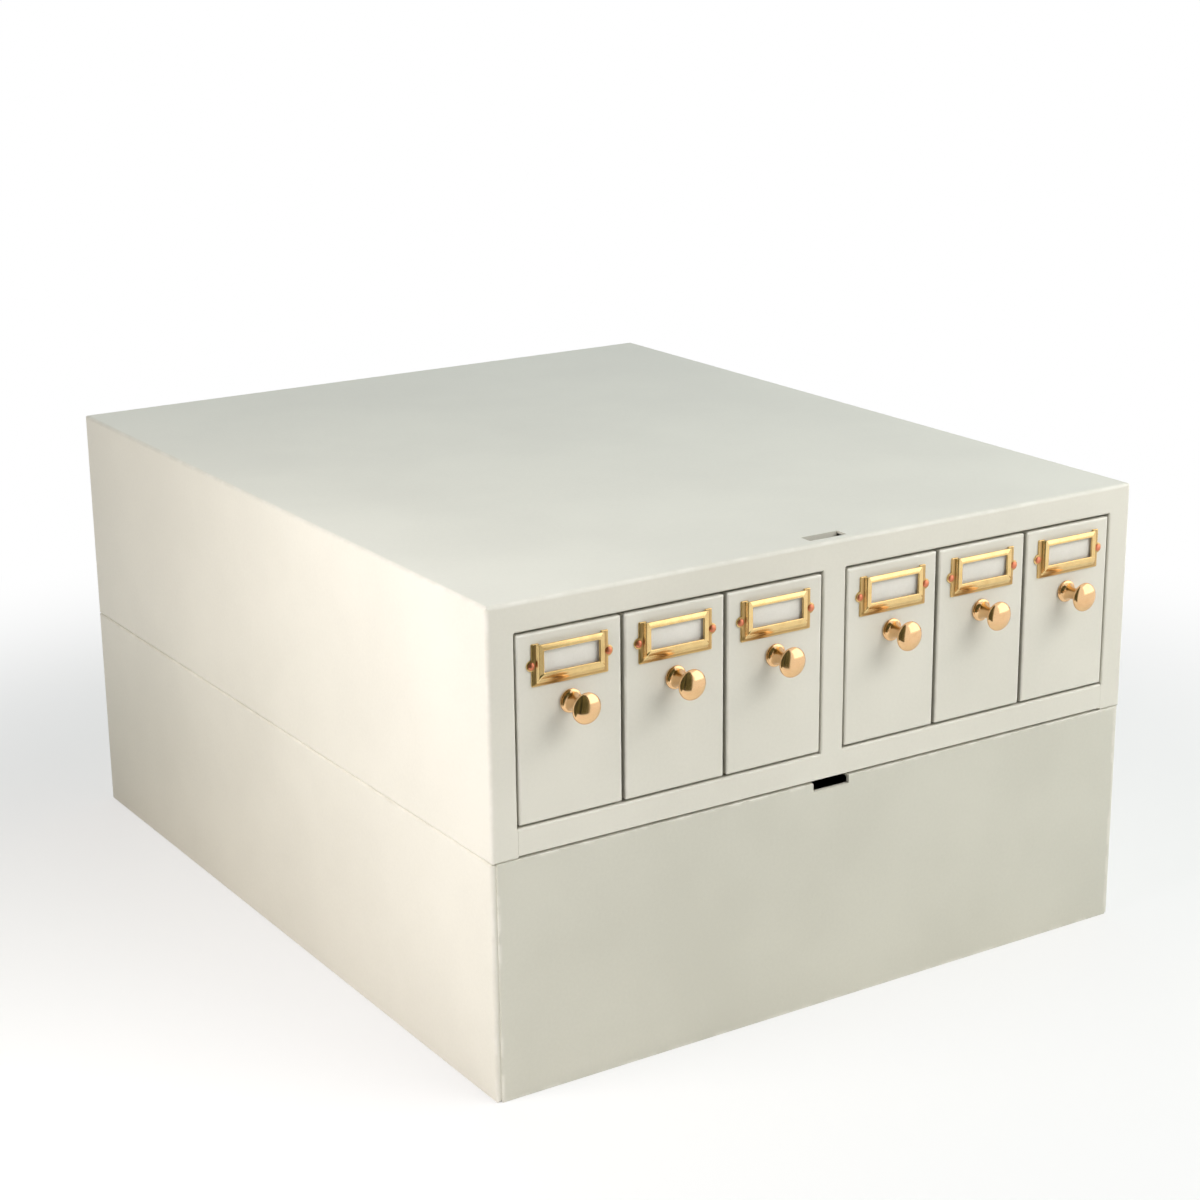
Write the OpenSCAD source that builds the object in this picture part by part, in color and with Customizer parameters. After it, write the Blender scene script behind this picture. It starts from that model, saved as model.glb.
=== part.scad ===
// Slide storage cabinet
// A sheet-steel section with six narrow drawers for microscope slides, stacked on a plain base of
// the same footprint. Each drawer is a tray on tee-shaped guides, with a folded pan for its front,
// a brass label holder and a turned brass knob.
// Units are millimetres. X runs to the right, Y to the back and Z up.

/* [Cabinet] */
// Width of both sections
case_w = 385; // [345:1:460]
// Depth of both sections, from front face to back face
case_d = 468; // [300:1:600]
// Height of the drawer section
case_h = 121.5; // [110:0.5:150]
// Height of the base
base_h = 119.5; // [60:0.5:200]
// Thickness of the casing sheet
sheet = 1.2; // [0.8:0.1:1.6]
// Outside radius of the folds round the drawer section's front, back and top
fold_r = 2; // [1.8:0.1:4]
// Outside radius of the base's upright corners
base_corner_r = 1.8; // [1.4:0.1:4]
// Thickness of the panel on the base's front
base_panel_t = 0.8; // [0.6:0.1:1.2]
// Distance from the base's sides to the edges of that panel
base_panel_inset = 2.6; // [2:0.1:8]
// Radius of the panel's rounded edges
base_panel_r = 0.5; // [0.2:0.1:0.6]
// Outside radius of the folds where the two sections meet and where the base stands
edge_r = 1.4; // [0.6:0.1:1.8]
// Width of the flanges turned in at the back and at the bottom of each section
flange_w = 16; // [12:0.5:30]

/* [Face frame] */
// Width of the upright at each side of the front
stile_w = 14; // [10:0.1:24]
// Height of the rail over the drawers
top_rail_h = 14.5; // [10:0.1:20]
// Height of the rail under the drawers
bottom_rail_h = 13; // [10:0.1:20]
// Shadow gap between the bottom rail and the base
rail_lift = 1.5; // [0.5:0.1:3]
// Depth of the return folded under the bottom rail
rail_return_d = 8; // [4:0.1:8.5]
// Width of the post between the two banks of drawers
post_w = 13.5; // [8:0.1:24]
// Depth of the lips folded back round the drawer openings
lip_d = 14; // [13:0.1:24]
// Radius of the folds round the drawer openings
mouth_r = 1.2; // [0.4:0.1:2]

/* [Stacking slot and tongue] */
// Width of the slot in the top of each section
slot_w = 22; // [14:0.5:40]
// Size of the slot from front to back
slot_d = 7.5; // [5:0.1:12]
// Distance from the front face to the slot
slot_inset = 5.5; // [4:0.1:9]
// How far the base's slot runs down its front face
notch_h = 4.4; // [4.2:0.1:12]
// Side play of the tongue in the slot
tongue_play = 1; // [0.5:0.1:2]
// How far the tongue reaches below the sheet that it hooks
tongue_drop = 2; // [1:0.1:6]
// Gap from the tongue to the back of the slot
tongue_back_gap = 2; // [0.5:0.1:2.4]

/* [Drawers] */
// Gap between the fronts of neighbouring drawers
drawer_gap = 1.6; // [1:0.1:3]
// Gap over and under each drawer front
drawer_gap_z = 1.1; // [0.8:0.1:2]
// Thickness of the drawer sheet
drawer_sheet = 0.8; // [0.6:0.05:1.2]
// Depth of the returns round each drawer front
front_d = 10; // [5:0.5:20]
// Outside radius of the drawer front's folds
front_r = 1.4; // [1.3:0.1:3]
// Height of the tray's side walls
tray_h = 48; // [30:0.5:70]
// Outside radius of the tray's lower folds
tray_r = 1.6; // [1.3:0.1:4]
// Gap between the tray's back and the top of the opening
back_margin = 14; // [6:0.5:30]
// Radius of the upper corners of the tray's back
back_corner_r = 7; // [2:0.5:15]
// Length of tray that stays in the case when the drawer is out
stop_tail = 65; // [45:1:120]
// Length of the stop web's upper edge
stop_top_l = 12; // [6:0.5:18]
// Length of the stop web where it leaves the divider
stop_foot_l = 34; // [20:0.5:42]
// How far the stop web reaches above the opening
stop_catch = 4; // [2:0.1:5]

/* [Guides] */
// Thickness of a guide's fin
fin_t = 1; // [0.6:0.1:1.4]
// Height of a guide's fin above its foot
fin_h = 12; // [6:0.5:30]
// Reach of a guide's foot under each tray
foot_w = 6; // [4:0.1:12]
// Width of the flange at the top of the centre partition
partition_flange_w = 12; // [6:0.5:20]
// Depth of the flanges folded down round the drawer floor
floor_flange_h = 9; // [5:0.5:9]
// Diameter of the bumper behind each drawer
bumper_d = 14; // [8:0.5:20]
// Thickness of the bumper
bumper_t = 6; // [3:0.5:12]
// Height of the bumper's centre above the tray's underside
bumper_z = 24; // [12:0.5:30]

/* [Label holder] */
// Width of the holder without its ears
holder_w = 40.5; // [36:0.5:42]
// Height of the holder
holder_h = 20; // [16:0.5:24]
// Thickness of the holder's sheet
holder_t = 0.8; // [0.5:0.05:1.2]
// Radius of the ears that the rivets go through
ear_r = 3.2; // [2.6:0.1:3.4]
// Distance from the holder's side edge to the middle of the ear
ear_out = 0.2; // [0:0.1:0.5]
// Width of the raised border
raised_w = 36.4; // [33:0.1:36.5]
// Height of the flange left below the raised border
raised_foot = 1.2; // [0.5:0.1:2]
// How far the raised border stands off the drawer front
raised_t = 2.6; // [1.4:0.1:3.5]
// How far the sides of the raised border slope in
raised_slope = 0.9; // [0.2:0.1:1.5]
// How far the lower edge of the raised border slopes in
raised_low_slope = 2.6; // [0.4:0.1:3]
// Width of the window
window_w = 29; // [20:0.5:30]
// Height of the window
window_h = 10; // [6:0.5:10.5]
// How far the window lies above the middle of the holder
window_lift = 1.5; // [0:0.1:1.6]
// Slope of the window's edge
window_slope = 0.3; // [0.1:0.1:0.6]
// Distance from the top of the drawer front to the middle of the holder
holder_drop = 15.3; // [13:0.1:18]
// Thickness of the label card
card_t = 0.5; // [0.3:0.05:0.6]
// Play of the card in its pocket at each side
card_play = 0.3; // [0.1:0.05:0.6]

/* [Knob] */
// Length of the knob
knob_l = 16.8; // [15.5:0.1:24]
// Diameter of the knob's base flange
knob_base_d = 11.4; // [10:0.1:16]
// Thickness of the base flange at its rim
knob_base_t = 1.4; // [1:0.1:2.5]
// Diameter of the neck
knob_neck_d = 5.6; // [5.4:0.1:8]
// Distance from the drawer front to the narrowest point of the neck
knob_neck_at = 9.2; // [6:0.1:10.5]
// Diameter of the head
knob_head_d = 14.9; // [13:0.1:20]
// Distance from the drawer front to the widest point of the head
knob_head_at = 13.9; // [12:0.1:15]
// Distance from the top of the drawer front to the knob's axis
knob_drop = 35.2; // [34:0.1:38]

/* [Fasteners] */
// Diameter of a rivet's shank
rivet_d = 2.4; // [1.6:0.1:2.8]
// Diameter of a rivet's head
rivet_head_d = 4.2; // [3.4:0.1:4.4]
// Height of a rivet's domed head
rivet_head_h = 1.3; // [0.6:0.1:1.6]
// Thickness of a rivet's closed end
rivet_tail_t = 0.7; // [0.4:0.1:1.2]
// Diameter of the knob's screw
screw_d = 4; // [3:0.1:4.5]
// Diameter of the screw's head
screw_head_d = 8; // [6:0.1:10]
// Thickness of the screw's head
screw_head_t = 2.2; // [1.5:0.1:3]
// How far the screw reaches into the knob
screw_reach = 9; // [6:0.1:11]

/* [Fits] */
// Running gap between pieces that slide past each other
run_gap = 0.3; // [0.2:0.05:0.6]
// Gap round pieces that nest and are welded
nest_gap = 0.05; // [0.02:0.01:0.1]
// Clearance round a shank in its hole
hole_gap = 0.1; // [0.05:0.05:0.3]

/* [Hidden] */
$fn = 64;
// Overshoot of cutting shapes past the faces that they cut
cut = 1;
bank_count = 2;
lanes_per_bank = 3;
drawer_count = bank_count * lanes_per_bank;

paint = "#d9d6c6";
inner_paint = "#cfccbc";
brass = "#d9b25f";
rose_brass = "#dba870";
copper = "#c4683f";
zinc = "#a9abad";
rubber = "#2c2c2c";
card_white = "#e9e6dd";

// Levels of the drawer section
case_z0 = base_h;
case_z1 = base_h + case_h;
rail_z0 = case_z0 + rail_lift;
mouth_z0 = rail_z0 + bottom_rail_h;
mouth_z1 = case_z1 - top_rail_h;
mouth_h = mouth_z1 - mouth_z0;
back_face = case_d - 2 * sheet;

// Inside radii of the folds
fold_in_r = max(fold_r - sheet, 0.2);
edge_in_r = max(edge_r - sheet, 0.2);
base_corner_in_r = max(base_corner_r - sheet, 0.2);
front_in_r = max(front_r - drawer_sheet, 0.2);
tray_in_r = max(tray_r - drawer_sheet, 0.2);

// Openings and lanes across the front
inner_half = case_w / 2 - sheet;
frame_half = case_w / 2 - stile_w;
bank_w = frame_half - post_w / 2;
lane_w = bank_w / lanes_per_bank;
bank_x = [-frame_half, post_w / 2];
slot_back = slot_inset + slot_d;

// Drawer
front_w = lane_w - drawer_gap;
front_h = mouth_h - 2 * drawer_gap_z;
front_z0 = mouth_z0 + drawer_gap_z;
front_z1 = front_z0 + front_h;
tray_w = front_w - 2 * drawer_sheet - 2 * nest_gap;
tray_z0 = front_z0 + drawer_sheet + nest_gap;
tray_y0 = drawer_sheet + front_in_r + nest_gap;
tray_y1 = back_face - bumper_t - run_gap;
tray_back_h = mouth_z1 - back_margin - tray_z0;
stop_y = tray_y1 - stop_tail;
travel = stop_y - lip_d - run_gap;
divider_y0 = drawer_sheet + screw_head_t + run_gap;
divider_z1 = tray_z0 + tray_h;

// Guides
guide_y0 = max(lip_d, front_d) + run_gap;
foot_h = tray_z0 - run_gap - mouth_z0;

// Label holder and knob on the drawer front
holder_z = front_z1 - holder_drop;
ear_x = holder_w / 2 + ear_out;
pocket_t = raised_t - holder_t;
pocket_w = raised_w - 2 * (raised_slope + holder_t);
raised_z0 = raised_foot - holder_h / 2;
pocket_z0 = raised_z0 + raised_low_slope + holder_t;
card_w = pocket_w - 2 * card_play;
card_z1 = holder_h / 2 - holder_t - card_play;
knob_z = front_z1 - knob_drop;

// Pull of the curves in the knob's outline, as shares of the lengths that they span
curve_steps = 12;
cove_pull = 0.3;
cove_rise = 0.1;
neck_pull = 0.6;
flare_pull = 0.6;
rim_pull = 0.4;
dome_side_pull = 0.5;
dome_top_pull = 0.6;

// The origin lies on the floor under the middle of the whole outline, knobs included
front_y = (knob_l - case_d) / 2;

DRAWER_PIECES = [
    "front", "tray", "divider", "label_holder", "label_card", "rivets", "knob", "knob_screw"
];

function drawer_node(i, piece) = str("drawer_", i, "_", piece);

// Middle of drawer i's lane, counted from the left
function lane_x(i) =
    let (bank = floor((i - 1) / lanes_per_bank), lane = (i - 1) % lanes_per_bank)
        bank_x[bank] + (lane + 0.5) * lane_w;

// Points of a cubic curve that leaves p[0] for p[3], pulled towards p[1] and p[2]
function curve(p) = [
    for (i = [1:curve_steps])
        let (t = i / curve_steps, u = 1 - t)
            u * u * u * p[0] + 3 * u * u * t * p[1] + 3 * u * t * t * p[2] + t * t * t * p[3]
];

// Radius of the sphere whose cap has this base diameter and height
function cap_r(d, h) = (d * d / 4 + h * h) / (2 * h);

// Extrusions of a flat shape along each axis
module along_x(x0, x1) {
    translate([x0, 0, 0]) rotate([90, 0, 90]) linear_extrude(x1 - x0) children();
}

module along_y(y0, y1) {
    translate([0, y1, 0]) rotate([90, 0, 0]) linear_extrude(y1 - y0) children();
}

module along_z(z0, z1) {
    translate([0, 0, z0]) linear_extrude(z1 - z0) children();
}

// What a fold of radius r takes off a square corner at the origin, with the sheet in the first quadrant
module corner_waste(r) {
    if (r > 0) {
        difference() {
            translate([-cut, -cut]) square(r + cut);
            translate([r, r]) circle(r);
        }
    }
}

// Rectangle from the origin, with folded lower and upper corners
module folded_rect(w, h, low_r, top_r) {
    difference() {
        square([w, h]);
        corner_waste(low_r);
        translate([w, 0]) mirror([1, 0]) corner_waste(low_r);
        translate([0, h]) mirror([0, 1]) corner_waste(top_r);
        translate([w, h]) rotate(180) corner_waste(top_r);
    }
}

// Block from y = 0 and z = 0, centred on x, with every edge folded
module folded_block(w, d, h, side_r, low_r, top_r) {
    intersection() {
        along_z(0, h) translate([-w / 2, 0]) folded_rect(w, d, side_r, side_r);
        along_y(0, d) translate([-w / 2, 0]) folded_rect(w, h, low_r, top_r);
        along_x(-w / 2, w / 2) folded_rect(d, h, low_r, top_r);
    }
}

// Frustum that stands on y = 0 and narrows by slope at each side towards the front
module sloped_block(w, h, d, slope) {
    intersection() {
        along_z(-h / 2, h / 2)
            polygon([[-w / 2, 0], [w / 2, 0], [w / 2 - slope, -d], [slope - w / 2, -d]]);
        along_x(-w / 2, w / 2)
            polygon([[0, -h / 2], [0, h / 2], [-d, h / 2 - slope], [-d, slope - h / 2]]);
    }
}

// Round bar along y
module bar_y(d, y0, y1) {
    along_y(y0, y1) circle(d = d);
}

// Rim of width flange_w left round a window in a section's back sheet
module back_window(z0, z1) {
    along_y(back_face, case_d + cut)
        translate([flange_w - case_w / 2, z0])
            square([case_w - 2 * flange_w, z1 - z0]);
}

// Casing of the drawer section: top, sides and face frame in one folded sheet
module case_shell() {
    color(paint)
        difference() {
            union() {
                translate([0, 0, case_z0]) case_skin();
                for (side = [0, 1]) mirror([side, 0, 0]) stile_lip();
                along_x(-frame_half - sheet, frame_half + sheet)
                    translate([0, mouth_z1]) square([lip_d, sheet]);
                slot_flap();
            }
            translate([-frame_half, -cut, case_z0 - cut])
                cube([2 * frame_half, lip_d + 2 * cut, mouth_z1 - case_z0 + cut]);
            along_z(case_z0 - cut, case_z0 + sheet)
                translate([flange_w - case_w / 2, lip_d])
                    square([case_w - 2 * flange_w, case_d - lip_d - flange_w]);
            back_window(case_z0 + flange_w, case_z1 - flange_w);
            for (side = [0, 1]) mirror([side, 0, 0]) bank_folds();
            along_z(case_z1 - 2 * sheet, case_z1 + cut)
                translate([-slot_w / 2, slot_inset]) square([slot_w, slot_d]);
        }
}

module case_skin() {
    difference() {
        folded_block(case_w, case_d, case_h, fold_r, edge_r, fold_r);
        translate([0, sheet, sheet])
            folded_block(2 * inner_half, back_face, case_h - 2 * sheet, fold_in_r, edge_in_r, fold_in_r);
    }
}

// Tab cut free for the slot and folded down at its back edge
module slot_flap() {
    along_x(-slot_w / 2, slot_w / 2)
        translate([slot_back, case_z1 - slot_d]) square([sheet, slot_d - sheet / 2]);
}

module stile_lip() {
    along_z(mouth_z0, mouth_z1 + sheet) translate([frame_half, 0]) square([sheet, lip_d]);
}

// Material that the folds round one bank's opening take off the casing
module bank_folds() {
    along_x(post_w / 2, frame_half) translate([0, mouth_z1]) corner_waste(mouth_r);
    along_z(mouth_z0, mouth_z1) translate([frame_half, 0]) corner_waste(mouth_r);
}

module case_back() {
    half = inner_half - fold_in_r - nest_gap;
    z0 = case_z0 + sheet + edge_in_r + nest_gap;
    z1 = case_z1 - sheet - fold_in_r - nest_gap;
    color(paint)
        along_y(back_face, back_face + sheet) translate([-half, z0]) square([2 * half, z1 - z0]);
}

// Floor that the drawers run over: its front flange is the bottom rail, folded back underneath
module drawer_floor() {
    rail_half = frame_half - hole_gap;
    wide_y0 = sheet + fold_in_r + nest_gap;
    color(paint)
        difference() {
            union() {
                along_x(-rail_half, rail_half) {
                    translate([0, rail_z0]) square([sheet, bottom_rail_h]);
                    translate([0, rail_z0]) square([rail_return_d, sheet]);
                    translate([0, mouth_z0 - sheet]) square([back_face, sheet]);
                }
                along_z(mouth_z0 - sheet, mouth_z0)
                    translate([-inner_half, wide_y0]) square([2 * inner_half, back_face - wide_y0]);
                for (side = [0, 1])
                    mirror([side, 0, 0])
                        along_z(mouth_z0 - floor_flange_h, mouth_z0)
                            translate([inner_half - sheet, wide_y0])
                                square([sheet, back_face - wide_y0]);
                along_x(-inner_half, inner_half)
                    translate([back_face - sheet, mouth_z0 - floor_flange_h])
                        square([sheet, floor_flange_h]);
            }
            for (x0 = bank_x)
                along_x(x0, x0 + bank_w) translate([0, mouth_z0]) mirror([0, 1]) corner_waste(mouth_r);
        }
}

// Folded channel between the two banks, flush with the rails
module centre_post() {
    color(paint)
        along_z(mouth_z0, mouth_z1)
            translate([-post_w / 2, 0])
                difference() {
                    folded_rect(post_w, lip_d, mouth_r, 0);
                    translate([sheet, sheet]) square([post_w - 2 * sheet, lip_d]);
                }
}

module centre_partition() {
    y0 = max(lip_d, slot_back + sheet + nest_gap);
    z1 = case_z1 - sheet;
    color(inner_paint)
        along_y(y0, back_face) {
            translate([-sheet / 2, mouth_z0]) square([sheet, z1 - mouth_z0]);
            translate([-sheet / 2, z1 - sheet]) square([partition_flange_w, sheet]);
        }
}

// Fin and feet of a guide: left and right are the reach of the foot at each side of the fin
module guide(left, right) {
    along_y(guide_y0, back_face) {
        translate([-fin_t / 2, mouth_z0]) square([fin_t, foot_h + fin_h]);
        translate([-fin_t / 2 - left, mouth_z0]) square([fin_t + left + right, foot_h]);
    }
}

// Guides between neighbouring drawers
module tee_guides() {
    color(zinc)
        for (x0 = bank_x, k = [1:lanes_per_bank - 1])
            translate([x0 + k * lane_w, 0, 0]) guide(foot_w, foot_w);
}

// Guides at the two ends of each bank
module edge_guides() {
    color(zinc)
        for (x0 = bank_x) {
            translate([x0, 0, 0]) guide(0, foot_w);
            translate([x0 + bank_w, 0, 0]) guide(foot_w, 0);
        }
}

// Stops on the back panel, one behind each drawer
module rear_bumpers() {
    color(rubber)
        for (i = [1:drawer_count])
            translate([lane_x(i), 0, tray_z0 + bumper_z])
                bar_y(bumper_d, back_face - bumper_t, back_face);
}

// Strip on the bottom rail's return, bent down into the base's slot
module stacking_tongue() {
    w = slot_w - 2 * tongue_play;
    y1 = slot_back - tongue_back_gap;
    z1 = rail_z0 + 2 * sheet;
    z0 = base_h - sheet - tongue_drop;
    color(zinc)
        along_x(-w / 2, w / 2) {
            translate([sheet, rail_z0 + sheet]) square([y1 - sheet, sheet]);
            translate([y1 - sheet, z0]) square([sheet, z1 - z0]);
        }
}

// Base: top, front and sides in one folded sheet, with flanges turned in at the back and the bottom
module base_shell() {
    color(paint)
        difference() {
            translate([0, base_panel_t, 0])
                folded_block(case_w, case_d - base_panel_t, base_h, base_corner_r, edge_r, edge_r);
            translate([0, base_panel_t + sheet, sheet])
                folded_block(2 * inner_half, back_face - base_panel_t, base_h - 2 * sheet,
                             base_corner_in_r, edge_in_r, edge_in_r);
            along_z(-cut, 2 * sheet)
                translate([flange_w - case_w / 2, flange_w])
                    square([case_w - 2 * flange_w, case_d - 2 * flange_w]);
            back_window(flange_w, base_h - flange_w);
            base_notch();
        }
}

// Slot in the base's top, which runs down its front
module base_notch() {
    along_z(base_h - notch_h, base_h + cut)
        translate([-slot_w / 2, -cut]) square([slot_w, slot_back + cut]);
}

// Panel welded on the base's front, set in from the folded corners
module base_front() {
    w = case_w - 2 * base_panel_inset;
    color(paint)
        difference() {
            folded_block(w, 4 * base_panel_t, base_h, base_panel_r, base_panel_r, base_panel_r);
            translate([-w, base_panel_t, -cut]) cube([2 * w, 4 * base_panel_t, base_h + 2 * cut]);
            base_notch();
        }
}

module base_back() {
    half = inner_half - base_corner_in_r - nest_gap;
    z0 = sheet + edge_in_r + nest_gap;
    z1 = base_h - z0;
    color(paint)
        along_y(back_face, back_face + sheet) translate([-half, z0]) square([2 * half, z1 - z0]);
}

// Pan for a drawer's front: a face with returns on all four sides, drilled for the knob and the holder
module drawer_front() {
    color(paint)
        difference() {
            translate([0, 0, front_z0]) {
                difference() {
                    folded_block(front_w, 2 * front_d, front_h, front_r, front_r, front_r);
                    translate([0, drawer_sheet, drawer_sheet])
                        folded_block(front_w - 2 * drawer_sheet, 2 * front_d, front_h - 2 * drawer_sheet,
                                     front_in_r, front_in_r, front_in_r);
                    translate([-front_w, front_d, -cut])
                        cube([2 * front_w, 2 * front_d, front_h + 2 * cut]);
                }
            }
            translate([0, 0, knob_z]) bar_y(screw_d + 2 * hole_gap, -cut, 2 * drawer_sheet);
            for (x = [-ear_x, ear_x])
                translate([x, 0, holder_z]) bar_y(rivet_d + 2 * hole_gap, -cut, 2 * drawer_sheet);
        }
}

// Tray folded from one sheet, open to the drawer front, with a taller back
module drawer_tray() {
    inner_w = tray_w - 2 * drawer_sheet;
    color(inner_paint)
        translate([0, 0, tray_z0]) {
            difference() {
                along_y(tray_y0, tray_y1)
                    translate([-tray_w / 2, 0]) folded_rect(tray_w, tray_h, tray_r, 0);
                along_y(tray_y0 - cut, tray_y1 - drawer_sheet)
                    translate([-inner_w / 2, drawer_sheet]) folded_rect(inner_w, tray_h, tray_in_r, 0);
            }
            along_y(tray_y1 - drawer_sheet, tray_y1)
                translate([-tray_w / 2, 0]) folded_rect(tray_w, tray_back_h, tray_r, back_corner_r);
        }
}

// Strip between the two rows of slides. Its stop web catches the lip over the opening.
module drawer_divider() {
    z0 = tray_z0 + drawer_sheet;
    y1 = tray_y1 - drawer_sheet;
    web_z1 = mouth_z1 + stop_catch;
    color(inner_paint)
        along_x(-drawer_sheet / 2, drawer_sheet / 2)
            polygon([
                [divider_y0, z0], [y1, z0], [y1, divider_z1], [stop_y + stop_foot_l, divider_z1],
                [stop_y + stop_top_l, web_z1], [stop_y, web_z1], [stop_y, divider_z1],
                [divider_y0, divider_z1]
            ]);
}

// Pressed brass frame with a raised border, open at the top for the card
module drawer_label_holder() {
    color(brass)
        translate([0, 0, holder_z])
            difference() {
                union() {
                    along_y(-holder_t, 0) {
                        square([holder_w, holder_h], center = true);
                        for (x = [-ear_x, ear_x]) translate([x, 0]) circle(ear_r);
                    }
                    holder_border();
                }
                translate([-pocket_w / 2, -pocket_t, pocket_z0])
                    cube([pocket_w, pocket_t + cut, holder_h]);
                translate([0, 0, window_lift]) holder_window();
                for (x = [-ear_x, ear_x])
                    translate([x, 0, 0]) bar_y(rivet_d + 2 * hole_gap, -raised_t, cut);
            }
}

// Raised border of the holder, sloped at the sides and below, and straight at the open top
module holder_border() {
    side = raised_w / 2;
    intersection() {
        along_z(raised_z0, holder_h / 2)
            polygon([
                [-side, 0],
                [side, 0],
                [side - raised_slope, -raised_t],
                [raised_slope - side, -raised_t],
            ]);
        along_x(-side, side)
            polygon([
                [0, raised_z0],
                [0, holder_h / 2],
                [-raised_t, holder_h / 2],
                [-raised_t, raised_z0 + raised_low_slope],
            ]);
    }
}

// Window through the front of the holder, wider towards the viewer
module holder_window() {
    depth = holder_t + cut;
    flare = window_slope * depth / holder_t;
    translate([0, -raised_t - cut, 0])
        mirror([0, 1, 0])
            sloped_block(window_w + 2 * flare, window_h + 2 * flare, depth, flare);
    translate([-window_w / 2, -pocket_t - cut / 2, -window_h / 2])
        cube([window_w, cut, window_h]);
}

module drawer_label_card() {
    color(card_white)
        along_y(-card_t, 0)
            translate([-card_w / 2, holder_z + pocket_z0]) square([card_w, card_z1 - pocket_z0]);
}

// Rivets that hold the label holder, headed inside the drawer front
module drawer_rivets() {
    sphere_r = cap_r(rivet_head_d, rivet_head_h);
    color(copper)
        for (x = [-ear_x, ear_x])
            translate([x, 0, holder_z]) {
                intersection() {
                    translate([0, sphere_r - rivet_head_h - holder_t, 0]) sphere(sphere_r);
                    bar_y(rivet_head_d, -holder_t - rivet_head_h, -holder_t);
                }
                bar_y(rivet_d, -holder_t, drawer_sheet);
                bar_y(rivet_head_d, drawer_sheet, drawer_sheet + rivet_tail_t);
            }
}

// Turned knob: rounded flange, cove to a slim neck, and a domed head
module drawer_knob() {
    base_r = knob_base_d / 2;
    neck_r = knob_neck_d / 2;
    head_r = knob_head_d / 2;
    rim_r = knob_base_t / 2;
    neck_l = knob_head_at - knob_neck_at;
    dome_l = knob_l - knob_head_at;
    rim = [for (a = [-90:15:90]) [base_r - rim_r + rim_r * cos(a), rim_r + rim_r * sin(a)]];
    cove = curve([
        [base_r - rim_r, knob_base_t],
        [neck_r + cove_pull * (base_r - neck_r), knob_base_t + cove_rise * (knob_neck_at - knob_base_t)],
        [neck_r, neck_pull * knob_neck_at],
        [neck_r, knob_neck_at]
    ]);
    flare = curve([
        [neck_r, knob_neck_at],
        [neck_r, knob_neck_at + flare_pull * neck_l],
        [head_r, knob_head_at - rim_pull * neck_l],
        [head_r, knob_head_at]
    ]);
    dome = curve([
        [head_r, knob_head_at],
        [head_r, knob_head_at + dome_side_pull * dome_l],
        [dome_top_pull * head_r, knob_l],
        [0, knob_l]
    ]);
    color(rose_brass)
        translate([0, 0, knob_z])
            rotate([90, 0, 0])
                difference() {
                    rotate_extrude() polygon(concat([[0, 0]], rim, cove, flare, dome));
                    translate([0, 0, -cut])
                        cylinder(d = screw_d + 2 * hole_gap, h = screw_reach + 2 * cut);
                }
}

module drawer_knob_screw() {
    color(zinc)
        translate([0, 0, knob_z]) {
            bar_y(screw_d, -screw_reach, drawer_sheet);
            bar_y(screw_head_d, drawer_sheet, drawer_sheet + screw_head_t);
        }
}

// Puts a piece drawn from the front face into the cabinet's own frame
module placed(x = 0) {
    translate([x, front_y, 0]) children();
}

placed() case_shell();
placed() case_back();
placed() drawer_floor();
placed() centre_post();
placed() centre_partition();
placed() tee_guides();
placed() edge_guides();
placed() rear_bumpers();
placed() stacking_tongue();
placed() base_shell();
placed() base_front();
placed() base_back();
for (i = [1:drawer_count]) {
    placed(lane_x(i)) drawer_front();
    placed(lane_x(i)) drawer_tray();
    placed(lane_x(i)) drawer_divider();
    placed(lane_x(i)) drawer_label_holder();
    placed(lane_x(i)) drawer_label_card();
    placed(lane_x(i)) drawer_rivets();
    placed(lane_x(i)) drawer_knob();
    placed(lane_x(i)) drawer_knob_screw();
}
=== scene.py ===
# %% [markdown]
# # Slide storage cabinet
# A sheet-steel cabinet for microscope slides: six narrow drawers with brass knobs and label
# holders, on a plain base of the same footprint. The construction comes packed, as solids in
# metres, with X to the right, Y to the back and Z up. It is loaded first and never moved: every
# finish and every new piece below is placed by the boxes of its nodes.

# %% Load the frame
import math

import bmesh
import bpy
import numpy as np
from mathutils import Matrix, Vector


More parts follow.
